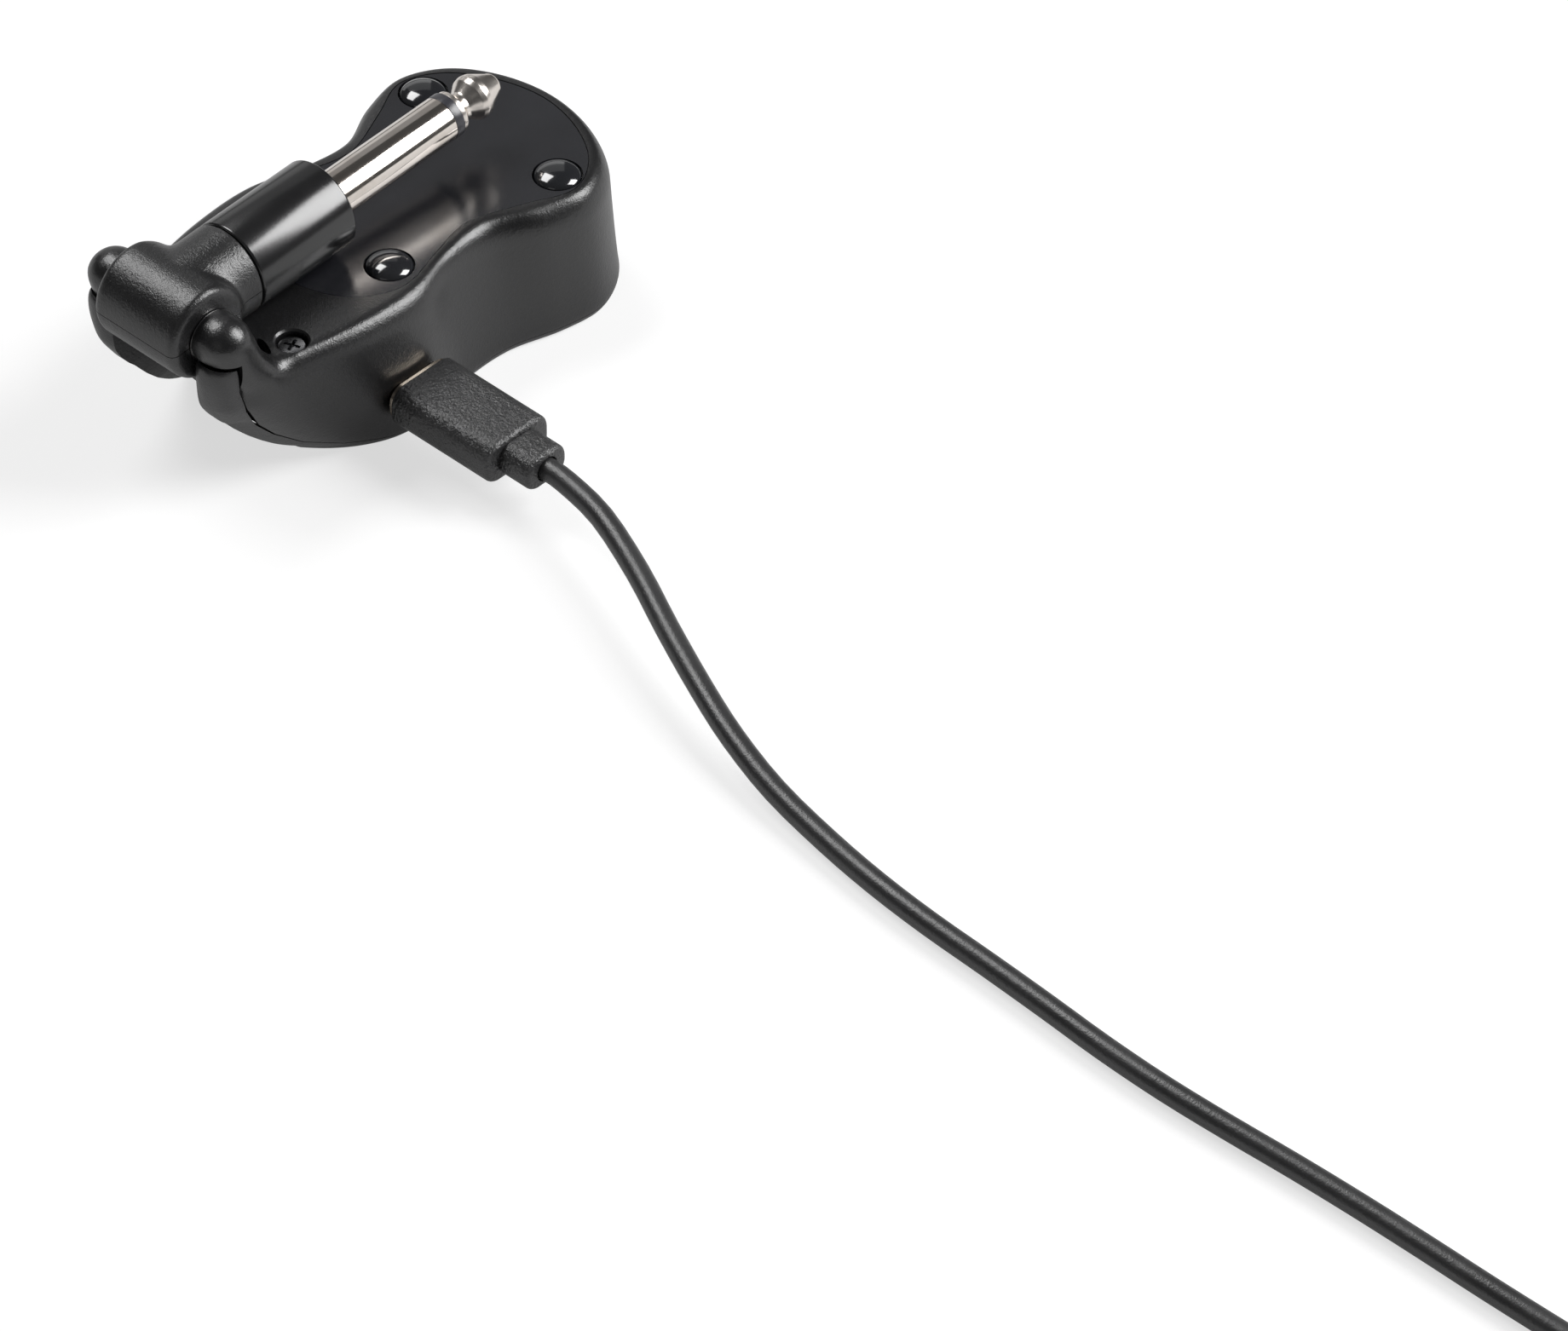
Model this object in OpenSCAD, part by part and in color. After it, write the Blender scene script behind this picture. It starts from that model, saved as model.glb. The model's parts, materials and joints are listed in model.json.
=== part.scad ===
// Wireless guitar transmitter with a folding jack plug and its USB charge lead.
// It lies on its front face: the label side is up, the hinge is at -X, the wide lobe at +X.

/* [Body] */
// Height of the label plate's face above the surface it stands on
body_h = 20; // [18:0.5:22]
// Wall thickness of both shells
wall = 1.8; // [1.5:0.1:2.2]
// Thickness of the inset label plate
plate_t = 0.5; // [0.4:0.1:0.8]

/* [Hinge and plug arm] */
// X of the hinge line
hinge_x = -32.35; // [-33:0.05:-32]
// Height of the hinge line
hinge_z = 25.5; // [25.4:0.1:26]
// Angle of the folded plug above the label plate
fold_tilt = 2.4; // [2.3:0.1:3]
// Radius of the crossbar that turns between the ears
cross_r = 6.6; // [6.4:0.05:6.6]
// Length of the crossbar
cross_len = 14.6; // [14:0.1:14.6]
// Radius of the stem and of the collar
collar_r = 6.4; // [6:0.05:6.4]
// Distance from the hinge line to the front face of the collar
collar_end = 27.2; // [26:0.1:28]
// Distance from the hinge line to the joint of stem and collar
collar_start = 10.6; // [10:0.1:12]

/* [Jack plug] */
// Diameter of the quarter inch plug
plug_d = 6.35; // [6.35:0.01:6.35]
// Length of the plug from the collar to the end of its tip
plug_len = 31.8; // [31.5:0.1:32]

/* [Feet and screws] */
// Radius of the well round each dome foot
well_r = 3.35; // [3.2:0.05:3.5]
// Radius of a dome foot
foot_r = 3.15; // [3:0.05:3.15]
// Radius of a case screw's head
screw_head_r = 1.95; // [1.8:0.05:2]

/* [Charge lead] */
// X of the charge port
port_x = -6.6; // [-8:0.1:-5]
// Height of the charge port
port_z = 7; // [6.8:0.1:7.4]
// Diameter of the charge cable
cable_d = 3.2; // [3:0.1:3.2]

/* [Hidden] */

black = [0.05, 0.05, 0.055];
soft_black = [0.09, 0.09, 0.095];
nickel = [0.8, 0.78, 0.74];
gold = [0.75, 0.62, 0.35];
span = 60; // longer than any cut

// ---- outlines: half of each closed outline, from the wide end to the hinge end ----
foot_line = [[38.2, 0], [36.7, 8.4], [32.7, 15], [26.4, 18.3], [19.8, 17.8], [12, 15.6], [4, 15.6],
  [-3, 17], [-9, 16.6], [-14, 13.8], [-17.6, 10], [-20, 5.4], [-20.8, 0]];
base_line = [[38.95, 0], [37.4, 8.8], [33.3, 15.6], [26.8, 19.15], [20, 18.6], [12, 16.3], [4, 16.4],
  [-3.5, 18.3], [-10, 18.1], [-15.5, 15.6], [-20, 11.4], [-23.2, 6.2], [-24.5, 0]];
rim_line = [[37.9, 0], [36.4, 8.3], [32.4, 14.9], [26.2, 18.1], [19.4, 17.2], [12, 13.7], [4, 14.2],
  [-4, 16.6], [-13, 16.4], [-22.5, 14.8], [-31, 13.4], [-35.8, 8.6], [-37.6, 0]];
top_line = [[36.2, 0], [34.8, 7.3], [30.9, 13.3], [24.9, 16.1], [18.4, 13.9], [12, 11.3], [4.6, 12.2],
  [-3.5, 14.2], [-13, 14], [-22.5, 12.6], [-30, 11], [-34, 7], [-35.6, 0]];
label_line = [[35.5, 0], [34, 7.2], [30.2, 13.2], [24.6, 15.9], [18.2, 13.3], [10.4, 10.5], [3.4, 11.9],
  [-3.1, 13.6], [-7.6, 12.5], [-11, 9.5], [-13, 5], [-13.6, 0]];
steps = 4; // spline steps between two outline points

function spline(a, b, c, d, t) = 0.5 * (2 * b + (c - a) * t + (2 * a - 5 * b + 4 * c - d) * t * t
  + (3 * b - a - 3 * c + d) * t * t * t);
function flip(p) = [p[0], -p[1]];
// a closed outline from its half, mirrored in the XZ plane
function closed(half) = let (n = len(half),
    up = [for (i = [0:n - 2]) for (k = [0:steps - 1])
      spline(i == 0 ? flip(half[1]) : half[i - 1], half[i], half[i + 1],
        i == n - 2 ? flip(half[n - 2]) : half[i + 2], k / steps)],
    m = len(up))
  concat(up, [half[n - 1]], [for (i = [1:m - 1]) flip(up[m - i])]);
function blend(a, b, t) = [for (i = [0:len(a) - 1]) a[i] * (1 - t) + b[i] * t];
// moves an outline inwards along its normals
function inset(pts, t) = let (n = len(pts)) [for (i = [0:n - 1])
  let (d = pts[(i + 1) % n] - pts[(i + n - 1) % n]) pts[i] + t * [-d[1], d[0]] / norm(d)];

// stacks closed outlines of equal length: levels is a list of [height, outline]
module loft(levels) {
  n = len(levels[0][1]);
  m = len(levels);
  pts = [for (l = levels) for (p = l[1]) [p[0], p[1], l[0]]];
  sides = [for (j = [0:m - 2]) for (i = [0:n - 1]) let (k = (i + 1) % n)
    [j * n + i, (j + 1) * n + i, (j + 1) * n + k, j * n + k]];
  polyhedron(pts, concat(sides, [[for (i = [0:n - 1]) i]],
    [[for (i = [n - 1:-1:0]) (m - 1) * n + i]]), convexity = 6);
}

base_z = 1.5;        // height of the widest line of the base
rim_z = body_h - 2.4;  // height where the shoulder starts
foot = closed(foot_line);
base = closed(base_line);
rim = closed(rim_line);
top = closed(top_line);
// the wall's outline at a height: it flares out towards the base
function wall_at(z) = blend(base, rim, pow(max(z - base_z, 0) / (rim_z - base_z), 0.75));

module body_solid() {
  loft([[0, foot], [0.35, blend(foot, base, 0.7)], [base_z, base], [6, wall_at(6)],
    [12, wall_at(12)], [rim_z, rim], [rim_z + 1.1, blend(rim, top, 0.18)],
    [body_h - 0.5, blend(rim, top, 0.5)], [body_h, top]]);
}

slot_w = cross_len / 2 + 0.4;  // half width of the gap between the ears

// the block between the two prongs that carry the ears; its inner end slants
module prong_gap(half, more) {
  translate([0, half, 0]) rotate([90, 0, 0]) linear_extrude(2 * half)
    polygon([[-27.5 + more, body_h + 0.2], [-19.5 + more, -1], [-span, -1], [-span, body_h + 0.2]]);
}
// the gap itself, wider towards the surface it stands on
module prong_space() {
  intersection() {
    prong_gap(slot_w + 3, 0);
    rotate([90, 0, -90]) linear_extrude(span)
      polygon([[slot_w + 3.2, -1], [slot_w, 7.5], [slot_w, body_h + 1], [-slot_w, body_h + 1],
        [-slot_w, 7.5], [-slot_w - 3.2, -1]]);
  }
}

// the room inside the walls, from a height upwards, smaller by gap all round; the prongs are solid
module room(bottom, gap) {
  difference() {
    loft([[bottom, inset(wall_at(bottom), wall + gap)], [6, inset(wall_at(6), wall + gap)],
      [12, inset(wall_at(12), wall + gap)], [rim_z - 0.4, inset(rim, wall + 0.3 + gap)]]);
    prong_gap(slot_w + wall + gap, wall + gap);
    translate([gap - 24.2 - span, -span / 2, -1]) cube([span, span, body_h]);
  }
}

// everything below the parting line, which climbs to the ears at the hinge end
part_line = [[45, 1.2], [-10, 1.2], [-17, 2.2], [-22, 4.2], [-26, 7.5], [-28.6, 10.6], [-31, 15],
  [-32.4, 19.4], [-32.7, 24]];
module below_parting(gap) {
  translate([0, span / 2, 0]) rotate([90, 0, 0]) linear_extrude(span)
    polygon(concat([for (p = part_line) [p[0] - gap, p[1] - gap]], [[-45, 24 - gap], [-45, -5], [45, -5]]));
}

module on_arm() { translate([hinge_x, 0, hinge_z]) rotate([0, -fold_tilt, 0]) children(); }
module along_arm(from, to, r) {
  on_arm() translate([from, 0, 0]) rotate([0, 90, 0]) cylinder(h = to - from, r = r, $fn = 64);
}
module on_hinge(from, to, r) {
  translate([hinge_x, from, hinge_z]) rotate([-90, 0, 0]) cylinder(h = to - from, r = r, $fn = 64);
}

arm_gap = 0.35;                // clearance of the arm all round

// room for the arm, folded over the label and swung half a turn the other way
module arm_room() {
  on_hinge(-slot_w, slot_w, cross_r + arm_gap);
  along_arm(-span / 2, span / 2, collar_r + arm_gap);
  prong_space();
}

ear_y = 9.8;
ear_r = 3.75;
// the ears, larger by gap all round
module ears(gap) {
  for (s = [-1, 1]) hull() {
    translate([hinge_x, s * ear_y, hinge_z]) sphere(r = ear_r + gap, $fn = 32);
    translate([hinge_x, s * slot_w, hinge_z]) rotate([s * -90, 0, 0]) cylinder(h = 1, r = ear_r + gap, $fn = 32);
    translate([hinge_x + 4.2, s * (slot_w + 2.7), body_h - 3]) cylinder(h = 2, r = 2.7 + gap, $fn = 24);
  }
}

journal_r = 2.5;
journal_out = 12;
journal_in = 5.6;

screw_x = -21.65;
screw_y = 10.95;
screw_top = body_h - 0.75;
module at_screws() { for (s = [-1, 1]) translate([screw_x, s * screw_y, 0]) children(); }
module at_feet() {
  for (s = [-1, 1]) {
    translate([25.4, s * 12.3, 0]) children();
    translate([-2.5, s * 9.35, 0]) children();
  }
}

module stadium(w, h, depth) {
  rotate([90, 0, 0]) linear_extrude(depth) union() {
    square([w - h, h], center = true);
    for (s = [-1, 1]) translate([s * (w - h) / 2, 0]) circle(d = h, $fn = 48);
  }
}
module at_port(y) { translate([port_x, y, port_z]) children(); }

socket_w = 8.94;
socket_h = 3.2;
socket_back = -9.6;
socket_front = -16.6;
board_top = port_z - socket_h / 2;
board_t = 1;

plate_gap = 0.13; // between the label plate and the edge of its recess
module rear_shell() {
  color(black) difference() {
    union() {
      difference() {
        body_solid();
        below_parting(-0.05);
        room(0.9, 0);
      }
      ears(0);
      // sleeves that the case screws pull down on
      at_screws() translate([0, 0, 15]) cylinder(h = 3, r = 3.2, $fn = 48);
    }
    arm_room();
    on_hinge(-journal_out, journal_out, journal_r);
    translate([0, 0, body_h - plate_t]) linear_extrude(5) polygon(inset(closed(label_line), -plate_gap));
    at_feet() translate([0, 0, body_h - 1.3]) cylinder(h = 5, r = well_r, $fn = 64);
    at_screws() translate([0, 0, screw_top - 1.4]) cylinder(h = 5, r = screw_head_r + 0.2, $fn = 48);
    at_screws() translate([0, 0, 10]) cylinder(h = 10, r = 1.3, $fn = 32);
    at_port(-10) stadium(socket_w + 0.3, socket_h + 0.3, 12);
  }
}

button_x = -5;
button_r = 4.6;
channel_x = 7;
channel_r = 2.8;
lens_x = 16;
lens_r = 1.5;
button_gap = 0.15;

module front_shell() {
  color(soft_black) difference() {
    union() {
      difference() {
        intersection() {
          body_solid();
          below_parting(0);
        }
        room(wall, 0);
      }
      // the lip that fits inside the rear shell, the screw posts and the posts under the board
      intersection() {
        room(1, 0.1);
        union() {
          translate([-span / 2 - 10, -span / 2, 0]) cube([span + 20, span, wall]);
          at_screws() cylinder(h = 14.9, r = 2.6, $fn = 48);
          for (x = [-9, 28], s = [-1, 1]) translate([x, s * 9, 0])
            cylinder(h = board_top - board_t, r = 1.5, $fn = 32);
        }
      }
    }
    arm_room();
    ears(0.15);
    at_screws() translate([0, 0, 9.5]) cylinder(h = 12, r = 1, $fn = 32);
    translate([button_x, 0, -1]) cylinder(h = 4, r = button_r + button_gap, $fn = 64);
    translate([channel_x, 0, -1]) cylinder(h = 4, r = channel_r + button_gap, $fn = 64);
    translate([lens_x, 0, -1]) cylinder(h = 4, r = lens_r, $fn = 48);
  }
}

module label_plate() {
  color([0.1, 0.1, 0.12]) difference() {
    translate([0, 0, body_h - plate_t]) linear_extrude(plate_t - 0.05) polygon(closed(label_line));
    at_feet() translate([0, 0, body_h - 2]) cylinder(h = 5, r = well_r, $fn = 64);
    arm_room();
  }
}

module dome_feet() {
  dome_h = 1.15;
  ball_r = (foot_r * foot_r + dome_h * dome_h) / (2 * dome_h);
  at_feet() color([0.02, 0.02, 0.025]) {
    translate([0, 0, body_h - 1.3]) cylinder(h = 1.15, r = foot_r, $fn = 64);
    intersection() {
      translate([0, 0, body_h - 0.15]) cylinder(h = 3, r = foot_r, $fn = 64);
      translate([0, 0, body_h - 0.15 + dome_h - ball_r]) sphere(r = ball_r, $fn = 64);
    }
  }
}

module case_screws() {
  color([0.06, 0.06, 0.06]) at_screws() difference() {
    union() {
      translate([0, 0, screw_top - 1.3]) cylinder(h = 1.3, r = screw_head_r, $fn = 48);
      translate([0, 0, 10.2]) cylinder(h = screw_top - 10.7, r = 1, $fn = 32);
    }
    for (a = [20, 110]) translate([0, 0, screw_top]) rotate([0, 0, a])
      cube([2.4, 0.55, 1.6], center = true);
  }
}

module hinge_journals() {
  color([0.75, 0.75, 0.7]) for (s = [-1, 1]) difference() {
    on_hinge(s > 0 ? journal_in : -journal_out, s > 0 ? journal_out : -journal_in, journal_r);
    on_hinge(-20, 20, 1.1);
  }
}

module friction_washers() {
  color(nickel) for (s = [-1, 1]) difference() {
    on_hinge(s > 0 ? slot_w - 0.25 : -slot_w, s > 0 ? slot_w : -slot_w + 0.25, 3.6);
    on_hinge(-20, 20, journal_r);
  }
}

module main_board() {
  color([0.05, 0.25, 0.12]) translate([0, 0, board_top - board_t]) linear_extrude(board_t) difference() {
    polygon(inset(wall_at(board_top), 3.2));
    translate([-45, -25]) square([28, 50]);
  }
}

shield_h = 2.8;
shield_t = 0.3;
module radio_shield() {
  color(nickel) translate([15, -8, board_top]) difference() {
    cube([15, 16, shield_h]);
    translate([shield_t, shield_t, -shield_t]) cube([15 - 2 * shield_t, 16 - 2 * shield_t, shield_h]);
  }
}

cell_z = board_top + shield_h;
cell_h = 8;
module battery_cell() {
  color([0.7, 0.72, 0.74]) translate([0, -10.5, cell_z]) cube([33, 21, cell_h]);
}
module battery_pad() {
  color([0.2, 0.2, 0.2]) translate([3, -7, cell_z + cell_h]) cube([26, 14, rim_z - 0.4 - cell_z - cell_h]);
}

module antenna_strip() {
  color(gold) translate([33.6, -8, board_top]) cube([0.6, 16, 7]);
}

switch_bottom = 3.05;
module button_switches() {
  color([0.15, 0.15, 0.15]) for (x = [button_x, channel_x])
    translate([x - 2.2, -2.2, switch_bottom]) cube([4.4, 4.4, board_top - board_t - switch_bottom]);
}

module charge_socket_shell() {
  color(nickel) at_port(socket_back) difference() {
    stadium(socket_w, socket_h, socket_back - socket_front);
    translate([0, -0.4, 0]) stadium(socket_w - 0.4, socket_h - 0.4, 10);
  }
}
module charge_socket_tongue() {
  color([0.1, 0.1, 0.1]) at_port(socket_back) {
    translate([0, -0.4, 0]) stadium(socket_w - 0.4, socket_h - 0.4, 0.8);
    translate([-3.35, -5.4, -0.35]) cube([6.7, 4.3, 0.7]);
  }
}

module status_lens() {
  color([0.8, 0.85, 0.8, 0.6]) translate([lens_x, 0, 0.2])
    cylinder(h = board_top - board_t - 0.2, r = lens_r, $fn = 48);
}

module button(x, r, collar) {
  translate([x, 0, 0.25]) cylinder(h = wall - 0.25 + 0.1, r = r, $fn = 64);
  translate([x, 0, wall + 0.1]) cylinder(h = 0.7, r = r + collar, $fn = 64);
}
module power_button() { color([0.03, 0.03, 0.03]) button(button_x, button_r, 0.8); }
module channel_button() { color([0.03, 0.03, 0.03]) button(channel_x, channel_r, 0.8); }

// ---- plug arm: a tee moulded in two halves, split through the hinge line ----
spigot_r = 4.6;
spigot_end = collar_start + 4;
module tee() {
  difference() {
    union() {
      on_hinge(-cross_len / 2, cross_len / 2, cross_r);
      along_arm(0, collar_start - 0.15, collar_r);
      along_arm(0, spigot_end, spigot_r);
    }
    on_hinge(-cross_len, -journal_in + 0.2, journal_r + 0.05);
    on_hinge(journal_in - 0.2, cross_len, journal_r + 0.05);
    on_hinge(-cross_len, cross_len, 1.2);
    along_arm(0, span, 1.8);
  }
}
module upper_space() { on_arm() translate([-span / 2, -span / 2, 0]) cube(span); }
module arm_upper_half() {
  color(black) intersection() { tee(); upper_space(); }
}
module arm_lower_half() {
  color(black) difference() { tee(); upper_space(); }
}

front_wall = 3.4;
shank_r = 3;      // of the plug inside the collar and its nut
nut_t = 3;
module collar() {
  color([0.02, 0.02, 0.02]) difference() {
    along_arm(collar_start, collar_end, collar_r);
    along_arm(collar_start - 1, collar_end - front_wall, spigot_r);
    along_arm(0, span, shank_r);
  }
}

module plug_nut() {
  color(gold) difference() {
    on_arm() translate([collar_end - front_wall - nut_t, 0, 0]) rotate([0, 90, 0])
      cylinder(h = nut_t, r = 4.5, $fn = 6);
    along_arm(0, span, shank_r);
  }
}

ring_at = collar_end + 21.7;
ring_w = 1.4;
bush_r = 2.1;
rod_r = 1.2;
sleeve_start = collar_end - front_wall - 5;
module plug_sleeve() {
  color(nickel) difference() {
    union() {
      along_arm(sleeve_start, ring_at, shank_r);
      along_arm(collar_end, ring_at, plug_d / 2);
    }
    along_arm(0, span, bush_r);
  }
}
module plug_insulator() {
  color([0.04, 0.04, 0.04]) difference() {
    union() {
      along_arm(sleeve_start - 0.6, ring_at + ring_w, bush_r);
      along_arm(ring_at, ring_at + ring_w, plug_d / 2);
    }
    along_arm(0, span, rod_r);
  }
}
module plug_tip() {
  t0 = ring_at + ring_w;
  t1 = collar_end + plug_len;
  color(nickel) on_arm() rotate([0, 90, 0]) rotate_extrude($fn = 72)
    polygon(concat([[0, sleeve_start - 1.5], [rod_r, sleeve_start - 1.5], [rod_r, t0], [2.95, t0],
      [2.95, t0 + 0.7], [2.1, t0 + 1.6], [1.95, t0 + 2.1], [2.3, t0 + 2.7], [3, t0 + 3.6],
      [3.15, t0 + 4.4], [3.1, t0 + 4.9], [2.3, t1 - 1.9], [1.75, t1 - 0.9]],
      [for (a = [30:20:90]) [1.6 * cos(a), t1 - 0.9 + 0.9 * sin(a)]]));
}

module plug_wires() {
  color([0.6, 0.1, 0.1]) {
    for (s = [-1, 1]) on_arm() translate([0.3, 0, s * 0.6]) rotate([0, 90, 0])
      cylinder(h = sleeve_start - 2.3, r = 0.45, $fn = 24);
    on_hinge(-11.5, 0, 0.55);
  }
}

// ---- charge lead ----
grip_w = 11.4;
grip_h = 6.2;
grip_r = 2.4;
grip_start = -18.9;
grip_end = -36.2;
boot_end = -41.4;
module rounded_bar(w, h, r, depth) {
  rotate([90, 0, 0]) linear_extrude(depth) union() {
    square([w - 2 * r, h], center = true);
    square([w, h - 2 * r], center = true);
    for (i = [-1, 1], j = [-1, 1]) translate([i * (w / 2 - r), j * (h / 2 - r)]) circle(r = r, $fn = 48);
  }
}
module usb_c_shell() {
  color(gold) at_port(-11.6) difference() {
    stadium(8.34, 2.56, -11.6 - grip_start);
    translate([0, 1, 0]) stadium(7.7, 1.9, span);
  }
}
module usb_c_grip() {
  color(soft_black) at_port(grip_start) rounded_bar(grip_w, grip_h, grip_r, grip_start - grip_end);
}
module usb_c_boot() {
  color(soft_black) at_port(grip_end) rounded_bar(7.2, 5, 2.3, grip_end - boot_end);
}

coil_x = -50;
coil_y = -252;
coil_r = 18;
// the cable's way from the plug to the coil, laid by hand
route = [[-6.6, -41.4, 7], [-6.8, -45, 7], [-8.4, -52.8, 6.9], [-12.4, -63, 6.3], [-16.8, -72.4, 5.4],
  [-21, -82.2, 4.3], [-24.2, -90.8, 3.3], [-26.8, -100.4, 2.3], [-28.6, -111, 1.7], [-29.9, -120.5, 1.6],
  [-30.7, -130, 1.6], [-31.1, -140, 1.6], [-31.6, -150, 1.6], [-32.2, -160, 1.6], [-32.4, -170, 1.6],
  [-32.1, -180, 1.6], [-31.6, -190, 1.6], [-31.3, -200, 1.6], [-31.2, -210, 1.6], [-31.2, -220, 1.6],
  [-31, -232, 1.6], [-30.6, -244, 1.6], [-30.4, -252, 1.6]];
// and from the coil's last turn to the other plug
tail_route = [[-50, -270, 4.4], [-54, -270.2, 4.6], [-58, -270.9, 4.7], [-61.5, -271.5, 4.3],
  [-65, -271.6, 4]];
tube_sides = 8;
// the sides of the tube round point i of a path, square to the path and upright at its ends
function ring(path, i, start, end) = let (n = len(path),
    d = i == 0 ? start : i == n - 1 ? end : path[i + 1] - path[i - 1], t = d / norm(d),
    a = cross(t, [0, 0, 1]), u = a / norm(a), v = cross(u, t), r = cable_d / 2)
  [for (k = [0:tube_sides - 1]) let (w = 360 * (k + 0.5) / tube_sides)
    path[i] + r * (cos(w) * u + sin(w) * v)];
module tube(path, start, end) {
  n = len(path);
  m = tube_sides;
  polyhedron([for (i = [0:n - 1]) each ring(path, i, start, end)],
    concat([for (i = [0:n - 2]) for (k = [0:m - 1]) let (q = (k + 1) % m)
      [i * m + k, i * m + q, (i + 1) * m + q, (i + 1) * m + k]],
      [[for (k = [m - 1:-1:0]) k]], [[for (k = [0:m - 1]) (n - 1) * m + k]]));
}
module charge_cable() { color(soft_black) tube(route, [0, -1, 0], [0, -1, 0]); }
module cable_tail() { color(soft_black) tube(tail_route, [-1, 0, 0], [-1, 0, 0]); }

coil_h = 6.2;
module cable_coil() {
  color(soft_black) translate([coil_x, coil_y, 0]) difference() {
    cylinder(h = coil_h, r = coil_r + cable_d, $fn = 72);
    translate([0, 0, -1]) cylinder(h = coil_h + 2, r = coil_r - cable_d, $fn = 72);
  }
}
tie_w = 6;
module cable_tie() {
  color([0.15, 0.15, 0.15]) translate([coil_x - coil_r, coil_y, coil_h / 2]) difference() {
    translate([-cable_d - 0.8, -tie_w / 2, -coil_h / 2]) cube([2 * cable_d + 1.8, tie_w, coil_h + 0.8]);
    translate([-cable_d - 0.2, -tie_w, -coil_h]) cube([2 * cable_d + 0.7, 2 * tie_w, 1.5 * coil_h + 0.2]);
  }
}

usb_a_x = -65;
usb_a_y = -271.6;
usb_a_z = 4;
module at_usb_a(x) { translate([usb_a_x + x, usb_a_y, usb_a_z]) rotate([0, 0, -90]) children(); }
module usb_a_boot() { color(soft_black) at_usb_a(0) rounded_bar(7, 5, 2.3, 6); }
module usb_a_grip() { color(soft_black) at_usb_a(-6) rounded_bar(15.4, 8, 2.4, 20); }
module usb_a_shell() {
  color(nickel) at_usb_a(-26) difference() {
    rounded_bar(12, 4.5, 0.4, 12);
    translate([0, -0.6, 0]) rounded_bar(11.4, 3.9, 0.3, 14);
  }
}
module usb_a_tongue() {
  color([0.9, 0.9, 0.9]) at_usb_a(-26.6) translate([-5.6, -11, -1.95]) cube([11.2, 11, 1.9]);
}

rear_shell();
front_shell();
label_plate();
dome_feet();
case_screws();
hinge_journals();
friction_washers();
main_board();
radio_shield();
battery_cell();
battery_pad();
antenna_strip();
button_switches();
charge_socket_shell();
charge_socket_tongue();
status_lens();
power_button();
channel_button();
arm_upper_half();
arm_lower_half();
collar();
plug_nut();
plug_sleeve();
plug_insulator();
plug_tip();
plug_wires();
usb_c_shell();
usb_c_grip();
usb_c_boot();
charge_cable();
cable_coil();
cable_tail();
cable_tie();
usb_a_boot();
usb_a_grip();
usb_a_shell();
usb_a_tongue();
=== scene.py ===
import json
import math

import bmesh
import bpy
from mathutils import Matrix, Vector


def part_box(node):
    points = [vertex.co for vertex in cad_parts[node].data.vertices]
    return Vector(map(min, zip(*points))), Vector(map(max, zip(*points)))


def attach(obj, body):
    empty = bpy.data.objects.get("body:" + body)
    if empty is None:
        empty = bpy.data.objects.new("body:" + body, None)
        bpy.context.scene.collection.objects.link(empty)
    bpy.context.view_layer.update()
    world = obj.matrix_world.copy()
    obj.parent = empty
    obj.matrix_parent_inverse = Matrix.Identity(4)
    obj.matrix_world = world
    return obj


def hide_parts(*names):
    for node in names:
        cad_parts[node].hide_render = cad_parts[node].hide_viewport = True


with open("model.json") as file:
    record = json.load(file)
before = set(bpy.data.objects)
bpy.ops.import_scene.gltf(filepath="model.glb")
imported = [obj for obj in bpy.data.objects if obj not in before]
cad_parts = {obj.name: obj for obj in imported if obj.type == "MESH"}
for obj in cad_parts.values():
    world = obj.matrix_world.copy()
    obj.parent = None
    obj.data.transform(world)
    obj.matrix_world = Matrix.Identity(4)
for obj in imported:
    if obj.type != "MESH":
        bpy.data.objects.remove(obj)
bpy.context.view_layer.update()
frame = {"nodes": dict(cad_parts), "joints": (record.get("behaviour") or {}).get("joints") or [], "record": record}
mm = 0.001
rightAngle = math.pi / 2
bpy.context.scene.view_settings.view_transform = "Standard"

joints = {joint["name"]: joint for joint in frame["joints"]}
mounts = {mount["name"]: mount for mount in frame["record"]["mounts"]}
hinge = Vector(joints["plug_fold"]["pos_m"])
armAxis = Vector(mounts["jack_plug"]["axis"]).normalized()
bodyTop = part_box("label_plate")[1].z + 0.05 * mm  # the rim round the label


def deselect():
    if bpy.context.object and bpy.context.object.mode != "OBJECT":
        bpy.ops.object.mode_set(mode="OBJECT")
    bpy.ops.object.select_all(action="DESELECT")


def selectOnly(piece):
    deselect()
    piece.select_set(True)
    bpy.context.view_layer.objects.active = piece


def modify(piece, kind, **settings):
    selectOnly(piece)
    modifier = piece.modifiers.new(kind.lower(), kind)
    for name, value in settings.items():
        setattr(modifier, name, value)
    bpy.ops.object.modifier_apply(modifier=modifier.name)


def cut(piece, cutter, operation="DIFFERENCE"):
    modify(piece, "BOOLEAN", object=cutter, operation=operation, solver="MANIFOLD")
    bpy.data.objects.remove(cutter)
    return piece


def joined(name, pieces):
    selectOnly(pieces[0])
    for piece in pieces[1:]:
        piece.select_set(True)
    bpy.ops.object.join()
    pieces[0].name = name
    return pieces[0]


def copied(piece, name, move=Matrix()):
    twin = piece.copy()
    twin.data = piece.data.copy()
    twin.name = name
    twin.data.transform(move)
    bpy.context.scene.collection.objects.link(twin)
    return twin


def settle(piece, angle=40):
    # smooth shading that keeps edges sharper than angle degrees
    selectOnly(piece)
    bpy.ops.object.shade_smooth_by_angle(angle=math.radians(angle))
    deselect()
    return piece


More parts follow.
